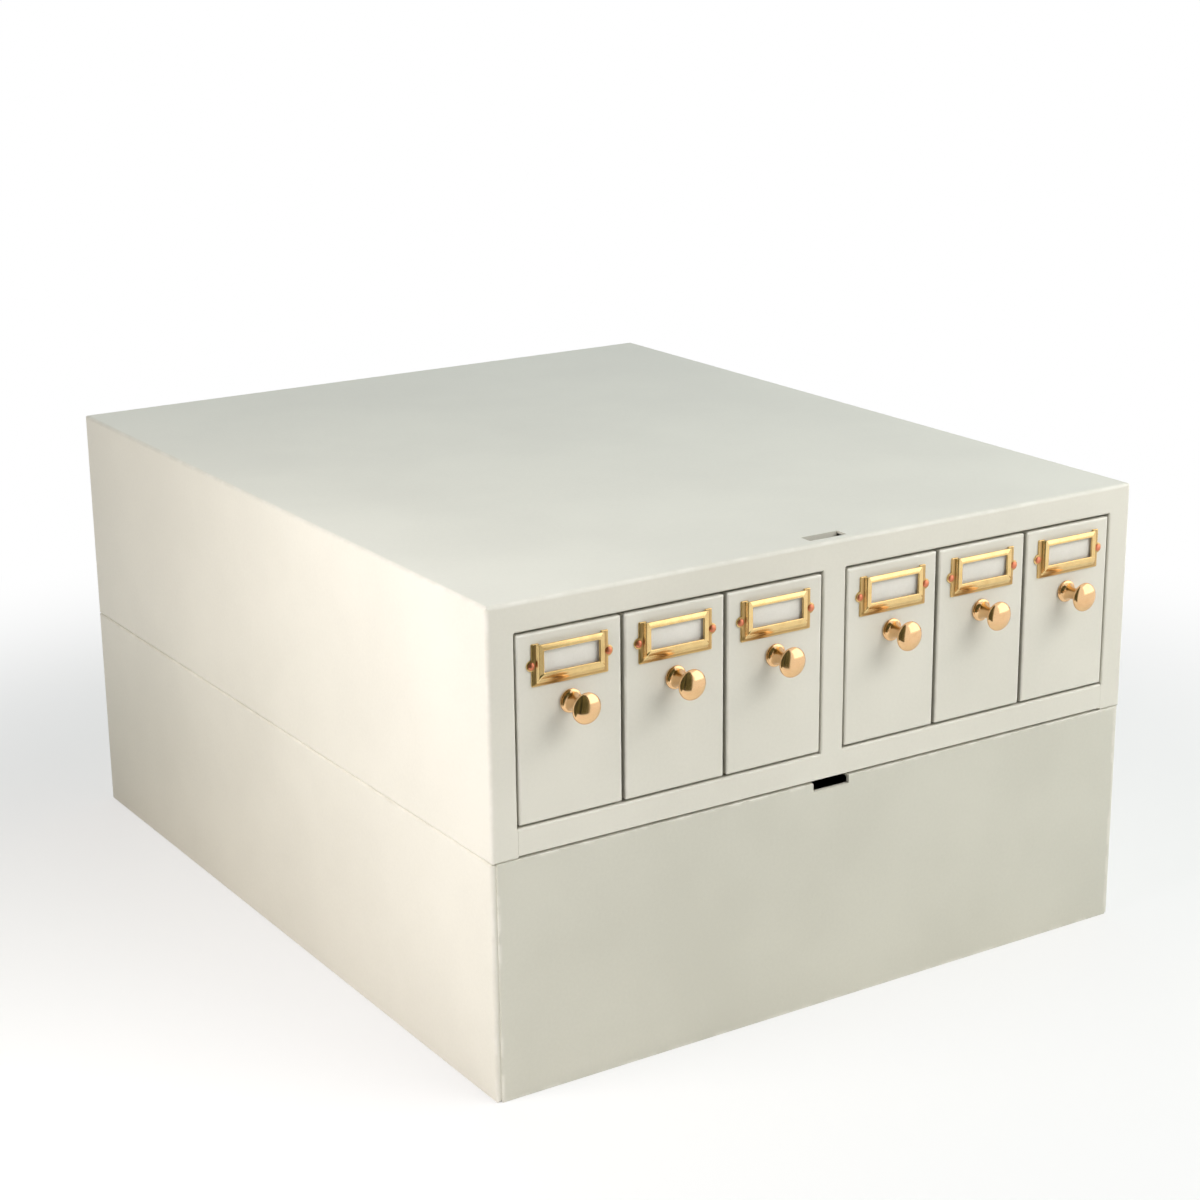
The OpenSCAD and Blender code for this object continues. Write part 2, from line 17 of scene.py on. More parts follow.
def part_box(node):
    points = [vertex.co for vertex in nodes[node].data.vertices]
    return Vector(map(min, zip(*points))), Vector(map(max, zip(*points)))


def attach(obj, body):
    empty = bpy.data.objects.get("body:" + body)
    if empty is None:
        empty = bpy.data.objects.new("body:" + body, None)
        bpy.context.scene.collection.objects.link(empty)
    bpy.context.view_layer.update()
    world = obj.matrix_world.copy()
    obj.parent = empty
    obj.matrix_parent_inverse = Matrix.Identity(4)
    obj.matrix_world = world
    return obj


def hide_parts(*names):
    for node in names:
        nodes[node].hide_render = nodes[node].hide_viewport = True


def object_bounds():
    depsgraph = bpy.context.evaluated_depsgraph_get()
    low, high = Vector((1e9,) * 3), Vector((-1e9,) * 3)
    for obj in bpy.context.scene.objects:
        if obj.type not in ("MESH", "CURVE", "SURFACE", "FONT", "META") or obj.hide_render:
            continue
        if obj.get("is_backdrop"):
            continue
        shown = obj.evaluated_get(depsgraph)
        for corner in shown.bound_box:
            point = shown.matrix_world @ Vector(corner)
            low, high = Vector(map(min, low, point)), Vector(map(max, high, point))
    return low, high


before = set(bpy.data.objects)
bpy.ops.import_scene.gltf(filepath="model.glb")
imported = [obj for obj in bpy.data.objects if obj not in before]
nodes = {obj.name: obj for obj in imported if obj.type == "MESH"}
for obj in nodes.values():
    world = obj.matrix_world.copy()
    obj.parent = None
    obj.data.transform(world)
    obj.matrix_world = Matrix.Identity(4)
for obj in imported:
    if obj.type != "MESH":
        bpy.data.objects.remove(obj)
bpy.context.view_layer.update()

# %% [markdown]
# ## Where things are
# The pieces that are made anew have to sit exactly where the construction has them. Numbers could
# be copied from the drawing, but then a change of size would leave them behind, so the front face,
# the drawers and their hardware are measured from the nodes' own boxes.

# %% Measure the front
MM = 0.001
DRAWERS = range(1, 7)
case_low, case_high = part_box("case_shell")
base_low, base_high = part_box("base_shell")
panel_low, panel_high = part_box("base_front")
front_y = case_low.y
drawer_boxes = {i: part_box(f"drawer_{i}_front") for i in DRAWERS}
lane_middle = {i: (low.x + high.x) / 2 for i, (low, high) in drawer_boxes.items()}
lane_pitch = lane_middle[2] - lane_middle[1]
bank_middle = lane_middle[5]
front_half = (drawer_boxes[1][1].x - drawer_boxes[1][0].x) / 2
print("front face at", round(front_y, 5), "lanes", [round(x, 5) for x in lane_middle.values()])

# %% [markdown]
# ## A grid of points becomes a mesh
# Every new surface is a function of two parameters, worked out for a whole grid of points at once.
# The faces of a grid are the same for all of them: each cell's four corners. Rings that close on
# themselves and poles that shrink to one point come out as doubled points, which are merged, so the
# result is one closed skin. Modelling by hand or with primitives would hide the formula.

# %% From grids to a piece
def grid_faces(rows, columns):
    """Four corner numbers for every cell of a grid of rows x columns points."""
    corner = (np.arange(rows - 1)[:, None] * columns + np.arange(columns - 1)).reshape(-1, 1)
    return corner + np.array([0, 1, columns + 1, columns])


def piece_from_grids(name, grids, finish, body, stands_for, sharp=40):
    """One object from several grids of points, each rows x columns x 3, with UV along the grid."""
    points, faces, uvs, start = [], [], [], 0
    for grid in grids:
        rows, columns = grid.shape[:2]
        cells = grid_faces(rows, columns)
        across, along = np.meshgrid(np.linspace(0, 1, columns), np.linspace(0, 1, rows))
        points.append(grid.reshape(-1, 3))
        uvs.append(np.stack([across, along], -1).reshape(-1, 2)[cells.ravel()])
        faces.append(cells + start)
        start += rows * columns
    mesh = bpy.data.meshes.new(name)
    mesh.from_pydata(np.concatenate(points).tolist(), [], np.concatenate(faces).tolist())
    mesh.uv_layers.new(name="along").data.foreach_set(
        "uv", np.concatenate(uvs).astype(np.float32).ravel())
    skin = bmesh.new()
    skin.from_mesh(mesh)
    bmesh.ops.remove_doubles(skin, verts=skin.verts, dist=1e-6)
    bmesh.ops.dissolve_degenerate(skin, edges=skin.edges, dist=1e-7)
    bmesh.ops.recalc_face_normals(skin, faces=skin.faces)
    open_edges = sum(edge.is_boundary for edge in skin.edges)
    skin.to_mesh(mesh)
    skin.free()
    mesh.shade_smooth()
    mesh.set_sharp_from_angle(angle=math.radians(sharp))
    mesh.materials.append(finish)
    made = bpy.data.objects.new(name, mesh)
    bpy.context.scene.collection.objects.link(made)
    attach(made, body)
    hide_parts(*stands_for)
    print(name, "points", len(mesh.vertices), "open edges", open_edges)
    return made

# %% [markdown]
# ## Values that run through a material
# A finish is arithmetic on values that change over a surface. Placing Math nodes one by one hides
# the sum, so a small class wraps a socket, and Python's own operators add the nodes: `1 - mask` is
# then a node too. Every other node comes from one method.

# %% The wire
class Wire:
    """A value running through a finish's nodes. Operators on it add Math nodes."""

    def __init__(self, tree, socket):
        self.tree, self.socket = tree, socket

    def plug(self, target, value):
        """Joins a wire to a socket, or sets the socket to a plain value."""
        if isinstance(value, Wire):
            self.tree.links.new(value.socket, target)
        else:
            target.default_value = value

    def node(self, kind, settings=None, sockets=None, out=0):
        """Any node: its type, its settings, and then the values or wires of its sockets."""
        made = self.tree.nodes.new(kind)
        for key, value in (settings or {}).items():
            setattr(made, key, value)
        for key, value in (sockets or {}).items():
            self.plug(made.inputs[key], value)
        return Wire(self.tree, made.outputs[out])

    def work(self, operation, *values):
        """A Math node that works on the values in turn."""
        return self.node("ShaderNodeMath", {"operation": operation}, dict(enumerate(values)))

    def __add__(self, other):
        return self.work("ADD", self, other)

    def __sub__(self, other):
        return self.work("SUBTRACT", self, other)

    def __rsub__(self, other):
        return self.work("SUBTRACT", other, self)

    def __mul__(self, other):
        return self.work("MULTIPLY", self, other)

    def __truediv__(self, other):
        return self.work("DIVIDE", self, other)

    def __rtruediv__(self, other):
        return self.work("DIVIDE", other, self)

    def __pow__(self, other):
        return self.work("POWER", self, other)

    def __abs__(self):
        return self.work("ABSOLUTE", self)

    __radd__, __rmul__ = __add__, __mul__

    def low(self, other):
        return self.work("MINIMUM", self, other)

    def high(self, other):
        return self.work("MAXIMUM", self, other)

    def repeat(self, pitch):
        """Distance from the middle of its own repeat, for a pattern that comes back every pitch."""
        return self - pitch * self.work("FLOOR", self / pitch) - pitch / 2

    def ease(self, start, end):
        """0 before start, 1 after end, and a smooth rise between them."""
        return self.node("ShaderNodeMapRange", {"interpolation_type": "SMOOTHSTEP"},
                         {"Value": self, "From Min": start, "From Max": end})

    def tint(self, where_0, where_1):
        """A colour that goes from where_0 to where_1 as the wire goes from 0 to 1."""
        return self.node("ShaderNodeMix", {"data_type": "RGBA"}, {0: self, 6: where_0, 7: where_1}, 2)

    def axes(self):
        """The three numbers of a vector."""
        split = self.node("ShaderNodeSeparateXYZ", None, {0: self}).socket.node
        return [Wire(self.tree, output) for output in split.outputs]

    def stretched(self, x, y, z):
        """The vector scaled along each axis, so that a pattern runs long or short along it."""
        return self.node("ShaderNodeVectorMath", {"operation": "MULTIPLY"}, {0: self, 1: (x, y, z)})

    def noise(self, size, detail=2.0, rough=0.5):
        """Soft noise from 0 to 1 whose patches measure about size metres."""
        return self.node("ShaderNodeTexNoise", None, {
            "Vector": self, "Scale": 1 / size, "Detail": detail, "Roughness": rough})


def colour(red, green, blue):
    """A display colour from 0 to 255, made linear for the shader."""
    value = np.array([red, green, blue]) / 255
    linear = np.where(value <= 0.04045, value / 12.92, ((value + 0.055) / 1.055) ** 2.4)
    return (*linear.tolist(), 1.0)


def start_finish(name, **constants):
    """A material with its shader's constants set. Gives it, its shader and the Object coordinates."""
    material = bpy.data.materials.new(name)
    material.use_nodes = True
    tree = material.node_tree
    shader = tree.nodes["Principled BSDF"]
    for key, value in constants.items():
        shader.inputs[key.replace("_", " ")].default_value = value
    return material, shader, Wire(tree, tree.nodes.new("ShaderNodeTexCoord").outputs["Object"])


def set_bump(shader, height, depth, strength=1.0):
    """Dents the surface by a wire from 0 to 1, depth metres deep."""
    sockets = {"Strength": strength, "Distance": depth, "Height": height}
    height.plug(shader.inputs["Normal"], height.node("ShaderNodeBump", None, sockets))

# %% [markdown]
# ## Baked enamel
# The casing and the drawer fronts are steel with a thick cream enamel, baked on: smooth, a little
# glossy, with the faint ripple that painters call orange peel, and cloudy tones where years of hands
# and dust have been. Along folds the coat is thinner and rubbed. A mask for that could be painted,
# but each sheet is a box, so the distance to its nearest edge is a formula: of the distances to the
# sides, the top and the front, one is nought on the surface, and the middle one is the answer. At the
# back, the flanges carry a row of spot welds, small round dents under the coat. In the gaps round the
# drawers a dark line of painted shade is laid on. Along the seam between casing and base runs a darker
# line that is partly dust and partly painted shade, and the base's front panel takes a darker cream
# as painted shade.

# %% Edge distance and enamel
CREAM = colour(223, 220, 207)
CREAM_SHADED = colour(215, 212, 199)
CREAM_RUBBED = colour(232, 229, 218)
# The base's front panel is a darker cream: painted shade, where less light falls on it.
PANEL_PAINTED_SHADE_CREAMS = colour(200, 198, 184), colour(209, 207, 193)
# A darker cream, partly dust and partly painted shade, for the line along the seam. The weld dents are
# tinted with it too.
SEAM_DUST_AND_SHADE = colour(188, 183, 165)
# The colour of the painted shade laid in the gaps round the drawers.
GAP_PAINTED_SHADE = colour(92, 89, 76)


def edge_distance(x, y, z, low, high):
    """Distance to a box's nearest edge: the middle one of the distances along x, y and z."""
    along = [(value - a).low(b - value) for value, a, b in zip((x, y, z), low, high)]
    least, most = along[0].low(along[1]), along[0].high(along[1])
    return least.high(most.low(along[2]))


def weld_dents(x, y, z, low, high, inset=8 * MM, pitch=64 * MM, radius=2.6 * MM):
    """1 in round dents, a pitch apart, along a line set in from the back's four edges, 0 elsewhere."""
    side = (x - low.x).low(high.x - x) - inset
    level = (z - low.z).low(high.z - z) - inset
    across = x.repeat(pitch) ** 2 + level ** 2
    upright = z.repeat(pitch) ** 2 + side ** 2
    at_back = y.ease(high.y - 2 * MM, high.y - 1 * MM)
    return (across.low(upright) ** 0.5).ease(radius, 0.7 * radius) * at_back


def enamel(name, x_of, low, high, seam_z=None, welded=False, shaded_gaps=False, creams=(CREAM_SHADED, CREAM)):
    """Cream enamel on a sheet that fills the box from low to high."""
    material, shader, place = start_finish(name, Metallic=0.0, IOR=1.5)
    x, y, z = place.axes()
    clouds = place.noise(0.11, 3.0, 0.55)
    speckle = place.noise(0.0016, 2.0)
    edge = edge_distance(x_of(x), y, z, low, high)
    rub = edge.ease(2.2 * MM, 0.3 * MM) * place.noise(0.012, 3.0).ease(0.42, 0.62)
    shade = (clouds * 0.8 + speckle * 0.2).ease(0.30, 0.70).tint(*creams)
    shade = (rub * 0.55).tint(shade, CREAM_RUBBED)
    # Along the seam between casing and base, a darker line in patches: partly dust, partly painted shade.
    if seam_z is not None:
        seam_dust_and_shade = abs(z - seam_z).ease(2.4 * MM, 0.3 * MM) * place.noise(0.03, 4.0, 0.6).ease(0.35, 0.7)
        shade = (seam_dust_and_shade * 0.2).tint(shade, SEAM_DUST_AND_SHADE)
    # Painted shade: a dark line, in patches, on the sides of each front, down in the gaps round the drawers.
    if shaded_gaps:
        depth, across = y - low.y, x_of(x)
        side = (across - low.x).low(high.x - across).low((z - low.z).low(high.z - z))
        band = depth.ease(0.1 * MM, 0.7 * MM) * depth.ease(8 * MM, 3 * MM)
        patches = place.noise(0.02, 3.0).ease(0.3, 0.6) * 0.3 + 0.7
        gap_shade = band * side.ease(0.4 * MM, 0.15 * MM) * patches
        shade = (gap_shade * 0.42).tint(shade, GAP_PAINTED_SHADE)
    peel = place.noise(0.0022, 2.0, 0.4) * 0.75 + place.noise(0.03, 1.0) * 0.25
    if welded:
        dents = weld_dents(x, y, z, low, high)
        shade = (dents * 0.3).tint(shade, SEAM_DUST_AND_SHADE)
        peel = peel - dents * 2.0
    place.plug(shader.inputs["Base Color"], shade)
    place.plug(shader.inputs["Roughness"], 0.31 + clouds * 0.1 + speckle * 0.03 - rub * 0.06)
    set_bump(shader, peel, 0.05 * MM, 0.35)
    return material


def whole(x):
    """The casing's own x, as it is."""
    return x


def within_lane(x):
    """x from a drawer's middle, for all six: the banks mirror each other, and the lanes repeat."""
    return (abs(x) - (bank_middle - 1.5 * lane_pitch)).repeat(lane_pitch)


case_enamel = enamel("case_enamel", whole, case_low, case_high, seam_z=case_low.z, welded=True)
base_enamel = enamel("base_enamel", whole, base_low, base_high, seam_z=base_high.z, welded=True)
# A front's rear edges aren't rubbed, so its box reaches behind them.
REAR_ROOM = Vector((0, 20 * MM, 0))
# The base's front panel takes the darker cream as painted shade.
panel_painted_shade_enamel = enamel("panel_painted_shade_enamel", whole, panel_low, panel_high + REAR_ROOM, creams=PANEL_PAINTED_SHADE_CREAMS)
front_low = Vector((-front_half, front_y, drawer_boxes[1][0].z))
front_high = Vector((front_half, drawer_boxes[1][1].y, drawer_boxes[1][1].z)) + REAR_ROOM
# The drawer fronts take painted shade in the gaps round them.
front_enamel = enamel("front_enamel", within_lane, front_low, front_high, shaded_gaps=True)
print("enamels", case_enamel.name, base_enamel.name, panel_painted_shade_enamel.name, front_enamel.name)

# %% [markdown]
# ## Inside enamel
# The trays and dividers wear the same coat, thinner and duller, and the slides' edges have drawn fine
# lines along them. A line along the drawer is noise stretched a hundredfold in Y.

# %% Tray enamel
def tray_enamel():
    """Dull cream enamel with fine scuffs that run along the drawer."""
    material, shader, place = start_finish("tray_enamel", Metallic=0.0, IOR=1.5)
    clouds = place.noise(0.06, 3.0)
    scuffs = place.stretched(1, 0.01, 1).noise(0.0007, 3.0, 0.6).ease(0.58, 0.76)
    patches = place.noise(0.045, 2.0).ease(0.45, 0.65)
    shade = clouds.ease(0.3, 0.7).tint(colour(203, 200, 187), colour(214, 211, 198))
    place.plug(shader.inputs["Base Color"], (scuffs * patches * 0.45).tint(shade, colour(176, 173, 163)))
    place.plug(shader.inputs["Roughness"], 0.5 + clouds * 0.12 - scuffs * 0.08)
    set_bump(shader, place.noise(0.002, 2.0) + scuffs * 0.4, 0.04 * MM, 0.4)
    return material


inside_enamel = tray_enamel()
print("inside", inside_enamel.name)

# %% [markdown]
# ## Bright metals
# The label holders are pressed from yellow brass with a brushed face, and the knobs are turned from a
# redder brass and polished. Both are tarnished brown where a polishing cloth doesn't reach: at the foot
# of the pressed border, and in the knob's cove and under its head. A mesh's own grid says where that is,
# so the tarnish follows the grid's second coordinate. The guides are plated steel, whose zinc crystals
# show as soft grey facets, and the rivets are copper.

# %% Metals
def grid_along(place):
    """How far along its grid a point lies, from the first row to the last."""
    return place.node("ShaderNodeUVMap", {"uv_map": "along"}).axes()[1]


def pressed_brass():
    """Brushed yellow brass: fine lines along X, brown tarnish in patches and at the border's foot."""
    material, shader, place = start_finish("pressed_brass", Metallic=1.0)
    along = grid_along(place)
    lines = place.stretched(0.02, 1, 1).noise(0.00025, 2.0)
    foot = along.ease(0.12, 0.17) * along.ease(0.27, 0.21)
    stain = place.noise(0.006, 3.0, 0.5).ease(0.4, 0.8)
    shade = lines.tint(colour(237, 203, 140), colour(244, 213, 153))
    shade = (stain * 0.3).tint(shade, colour(206, 160, 92))
    place.plug(shader.inputs["Base Color"], (foot * 0.6).tint(shade, colour(150, 108, 54)))
    place.plug(shader.inputs["Roughness"], 0.19 + lines * 0.05 + stain * 0.05 + foot * 0.1)
    set_bump(shader, lines, 0.01 * MM, 0.15)
    return material


def turned_brass():
    """Polished rose brass: fine rings left by the lathe, and tarnish in the cove and under the head."""
    material, shader, place = start_finish("turned_brass", Metallic=1.0)
    along, lathe_turns = grid_along(place), 900
    rings = along.work("SINE", along * lathe_turns) * 0.5 + 0.5
    recess = along.ease(0.24, 0.38) * along.ease(0.68, 0.58)
    stain = place.noise(0.004, 3.0, 0.6).ease(0.4, 0.75)
    shade = (stain * 0.25).tint(colour(239, 197, 148), colour(225, 170, 112))
    place.plug(shader.inputs["Base Color"], (recess * 0.18).tint(shade, colour(156, 108, 66)))
    place.plug(shader.inputs["Roughness"], 0.12 + stain * 0.06 + recess * 0.08 + rings * 0.02)
    set_bump(shader, rings, 0.002 * MM, 0.25)
    return material


def rivet_copper():
    """Copper with a dull, slightly uneven hammered head."""
    material, shader, place = start_finish("rivet_copper", Metallic=1.0)
    stain = place.noise(0.0009, 3.0)
    place.plug(shader.inputs["Base Color"], stain.tint(colour(214, 126, 92), colour(230, 150, 116)))
    place.plug(shader.inputs["Roughness"], 0.34 + stain * 0.12)
    set_bump(shader, stain, 0.02 * MM, 0.3)
    return material


def zinc_plate():
    """Zinc-plated steel: soft crystal facets in grey, with a faint drawn grain along Y."""
    material, shader, place = start_finish("zinc_plate", Metallic=1.0)
    crystal = place.node("ShaderNodeTexVoronoi", None, {"Vector": place, "Scale": 220.0}, 1).axes()[0]
    grain = place.stretched(1, 0.02, 1).noise(0.0006, 2.0)
    place.plug(shader.inputs["Base Color"], crystal.tint(colour(186, 188, 190), colour(206, 207, 205)))
    place.plug(shader.inputs["Roughness"], 0.32 + crystal * 0.12 + grain * 0.08)
    set_bump(shader, grain, 0.02 * MM, 0.3)
    return material


holder_brass, knob_brass = pressed_brass(), turned_brass()
copper, zinc = rivet_copper(), zinc_plate()
print("metals", holder_brass.name, knob_brass.name, copper.name, zinc.name)

# %% [markdown]
# ## Card and rubber
# The labels are blank cards of matt white stock, whose fibres show as a faint mottling. The bumpers
# behind the drawers are black rubber, dusty on the faces.

# %% Card and rubber
def card_stock():
    """Matt white card: short fibres in two directions over a soft mottling."""
    material, shader, place = start_finish("card_stock", Metallic=0.0)
    lying, standing = place.stretched(0.2, 1, 1), place.stretched(1, 1, 0.2)
    fibres = (lying.noise(0.0005, 3.0) + standing.noise(0.0005, 3.0)) * 0.5
    mottle = place.noise(0.008, 2.0)
    mix = (fibres * 0.6 + mottle * 0.4).ease(0.3, 0.7)
    place.plug(shader.inputs["Base Color"], mix.tint(colour(224, 221, 211), colour(232, 229, 220)))
    place.plug(shader.inputs["Roughness"], 0.78 + fibres * 0.12)
    set_bump(shader, fibres, 0.04 * MM, 0.4)
    return material


def bumper_rubber():
    """Black rubber with a dusty bloom."""
    material, shader, place = start_finish("bumper_rubber", Metallic=0.0)
    bloom = place.noise(0.004, 4.0, 0.6).ease(0.4, 0.7)
    place.plug(shader.inputs["Base Color"], bloom.tint(colour(38, 38, 39), colour(58, 57, 55)))
    place.plug(shader.inputs["Roughness"], 0.7 + bloom * 0.2)
    set_bump(shader, place.noise(0.0008, 2.0), 0.05 * MM, 0.4)
    return material


card_white, rubber_black = card_stock(), bumper_rubber()
print("others", card_white.name, rubber_black.name)

# %% [markdown]
# ## Finishes on the construction
# Sheet-metal nodes whose shape is right stay as they are and only take their finish. Their folds are
# exact, and their normals come with the model.

# %% Give the nodes their finishes
FINISH_OF = {
    "case_shell": case_enamel, "case_back": case_enamel, "drawer_floor": case_enamel,
    "centre_post": case_enamel, "centre_partition": inside_enamel, "tee_guides": zinc,
    "edge_guides": zinc, "rear_bumpers": rubber_black, "stacking_tongue": zinc,
    "base_shell": base_enamel, "base_front": panel_painted_shade_enamel, "base_back": base_enamel,
}
for i in DRAWERS:
    FINISH_OF.update({
        f"drawer_{i}_front": front_enamel, f"drawer_{i}_tray": inside_enamel,
        f"drawer_{i}_divider": inside_enamel, f"drawer_{i}_rivets": copper,
        f"drawer_{i}_label_card": card_white, f"drawer_{i}_label_holder": holder_brass,
        f"drawer_{i}_knob": knob_brass, f"drawer_{i}_knob_screw": zinc,
    })
for name, finish in FINISH_OF.items():
    nodes[name].data.materials.clear()
    nodes[name].data.materials.append(finish)
print("nodes finished", len(FINISH_OF), "of", len(nodes))

# %% [markdown]
# ## Knobs
# Each knob was turned on a lathe from one bar: a rounded flange against the drawer, a stem that narrows
# like a trumpet, and a flat domed head. The construction draws that outline in straight steps, which
# would show as bands in polished metal. Here the outline is a rim and three smooth curves, and the knob
# is that outline turned through a full circle.

# %% Turn a profile
def bezier(controls, count):
    """Points of a cubic curve: its four controls, blended by the powers of t and 1 - t."""
    t = np.linspace(0, 1, count)[:, None]
    a, b, c, d = np.array(controls, float)
    return (1 - t) ** 3 * a + 3 * (1 - t) ** 2 * t * b + 3 * (1 - t) * t ** 2 * c + t ** 3 * d


FULL_TURN = np.linspace(0, 2 * np.pi, 97)


def turned(outline, angle=FULL_TURN):
    """A surface of revolution about -Y: radius r and reach h of the outline, at every angle."""
    radius, reach = outline[:, :1], outline[:, 1:]
    return np.stack([radius * np.cos(angle), -reach + 0 * angle, radius * np.sin(angle)], -1)


def knob_outline(head, length):
    """Flange rim as a half circle, then stem, underside and dome as cubic curves, in metres."""
    base, neck, neck_at, head_at, rim = 5.7 * MM, 2.8 * MM, 9.2 * MM, 13.9 * MM, 0.7 * MM
    turn = np.linspace(-np.pi / 2, np.pi / 2, 15)
    edge = np.stack([base - rim + rim * np.cos(turn), rim + rim * np.sin(turn)], -1)
    span, rise = head_at - neck_at, length - head_at
    flare, narrow, wide = [neck + 0.3 * (base - neck), 2.2 * MM], [neck, neck_at], [head, head_at]
    stem = bezier([edge[-1], flare, [neck, 0.6 * neck_at], narrow], 24)
    under = bezier([narrow, [neck, neck_at + 0.6 * span], [head, head_at - 0.4 * span], wide], 32)
    dome = bezier([wide, [head, head_at + 0.5 * rise], [0.6 * head, length], [0, length]], 32)
    return np.concatenate([[[0, 0]], edge, stem[1:], under[1:], dome[1:]])


for i in DRAWERS:
    low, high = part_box(f"drawer_{i}_knob")
    middle = np.array([(low.x + high.x) / 2, high.y, (low.z + high.z) / 2])
    grid = turned(knob_outline((high.x - low.x) / 2, high.y - low.y)) + middle
    piece_from_grids(f"turned_knob_{i}", [grid], knob_brass, f"drawer_{i}",
                     [f"drawer_{i}_knob"])

# %% [markdown]
# ## Label holders
# A holder is pressed from one brass sheet: a flat flange with an ear at each side for its rivet, a
# border that rises off the drawer, and a window through it. The border runs up to the top edge, which is
# open, so the card drops in from above. A box with a hole would lose the pressed look. Instead, one
# cross-section of the sheet is carried round the frame: at every step round, the section's points slide
# between nested rounded rectangles, from the outer edge, over the border, into the window, and back
# behind it. Along the card's mouth the flange and the border shrink to the plate's upper edge.

# %% Press the holder
SHEET, EDGE = 0.8 * MM, 0.25 * MM
FLANGE_HALF, EAR_R, MOUTH_HALF = 20.25 * MM, 2.6 * MM, 16.5 * MM
SLOPE_HALF, SLOPE_SIDE, SLOPE_LOW, SLOPE_FOOT = 18.2 * MM, 1.05 * MM, 2.6 * MM, 1.2 * MM
WINDOW_HALF, WINDOW_LOW, WINDOW_HIGH = 14.6 * MM, -3.6 * MM, 6.6 * MM
POCKET_HALF, POCKET_LOW = 16.8 * MM, -5.4 * MM
# How far outside the window, and how far below the crest, each ring of its rounded rim lies.
WINDOW_RIM = np.array([(0.45, 0), (0.3, 0), (0.16, 0.05), (0.05, 0.18), (0.0, 0.4), (0.0, 0.8)]) * MM
MOUTH_POINTS = 29


def frame_path(half_x, half_z, corner, lift, ear):
    """Points round a rounded rectangle, the same count for every size, from the lower right corner up.
    An ear adds a half circle, the root of r2 - z2, to the middle of the left and right sides."""
    straight_x, straight_z = half_x - corner, half_z - corner
    round_ear = EAR_R * np.sin(np.linspace(-np.pi / 2, np.pi / 2, 21))
    plain = np.linspace(EAR_R, straight_z, 5)[1:]
    z_side = np.concatenate([-plain[::-1], round_ear, plain])
    out = ear * np.sqrt(np.clip(EAR_R ** 2 - z_side ** 2, 0, None))
    right = np.stack([half_x + out, z_side], -1)
    mouth = min(MOUTH_HALF, straight_x)
    beside = np.linspace(straight_x, mouth, 4)
    x_top = np.concatenate([beside, np.linspace(mouth, -mouth, MOUTH_POINTS), -beside[::-1]])
    upper = np.stack([x_top, np.full(len(x_top), half_z)], -1)
    bend = np.linspace(0, np.pi / 2, 7)[1:-1]

    def rounded(side_x, side_z, start):
        return np.stack([side_x * straight_x + corner * np.cos(start + bend),
                         side_z * straight_z + corner * np.sin(start + bend)], -1)

    path = np.concatenate([
        right, rounded(1, 1, 0), upper, rounded(-1, 1, np.pi / 2), right[::-1] * [-1, 1],
        rounded(-1, -1, np.pi), -upper, rounded(1, -1, 1.5 * np.pi), right[:1]])
    first = len(right) + len(bend) + len(beside)
    return path + [0, lift], slice(first, first + MOUTH_POINTS)


def pressed_holder(half_x, half_z, reach):
    """Rings from the back edge of the flange, over the border, into the window and round behind it.
    The border's height over its width leans to an S: 0.7 t + 0.3 t2 (3 - 2 t)."""
    step, bevel = np.linspace(0, 1, 9), 0.08 * MM
    rise = 0.7 * step + 0.3 * step * step * (3 - 2 * step)
    back, top, foot = reach - SHEET, half_z - EDGE, SLOPE_FOOT - half_z

    def ring(wide, low, high, corner, ear, height):
        return wide, (high - low) / 2, corner * MM, (high + low) / 2, ear, height

    flange = [(0, 1, 0), (0, 1, SHEET - EDGE), (bevel, 0.98, SHEET - bevel), (EDGE, 0.93, SHEET)]
    rings = [ring(half_x - trim, trim - half_z, half_z - trim, 0.5, ear, height)
             for trim, ear, height in flange]
    rings += [ring(SLOPE_HALF - SLOPE_SIDE * t, foot + SLOPE_LOW * t, top, 0.5, 0, SHEET + back * s)
              for t, s in zip(step, rise)]
    crest = len(rings) - 1
    rings += [ring(WINDOW_HALF + out, WINDOW_LOW - out, WINDOW_HIGH + out, 0.4, 0, reach - drop)
              for out, drop in WINDOW_RIM]
    rings += [ring(POCKET_HALF, POCKET_LOW, top, 0.3, 0, height) for height in (back, 0)] + rings[:1]
    paths = [frame_path(*each[:5]) for each in rings]
    mouth = paths[0][1]
    flat = np.array([path for path, _ in paths])
    height = np.repeat(np.array([each[5] for each in rings])[:, None], flat.shape[1], 1)
    fold = 0.2 * MM
    for row in [*range(crest), *range(len(rings) - 3, len(rings))]:
        flat[row, mouth] = flat[crest, mouth]
        height[row, mouth] = reach - fold if row == crest - 1 else back
    flat[crest, mouth, 1] -= fold
    return np.stack([flat[..., 0], -height, flat[..., 1]], -1)


for i in DRAWERS:
    low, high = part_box(f"drawer_{i}_label_holder")
    middle = np.array([(low.x + high.x) / 2, high.y, (low.z + high.z) / 2])
    grid = pressed_holder(FLANGE_HALF, (high.z - low.z) / 2, high.y - low.y) + middle
    piece_from_grids(f"pressed_holder_{i}", [grid], holder_brass, f"drawer_{i}",
                     [f"drawer_{i}_label_holder"], sharp=50)

# %% [markdown]
# ## Cards
# A card that has stood in its holder for years bows a little towards the window. A flat slab would look
# like a tile, so the card is a thin rounded strip, carried across the holder along a shallow arc.

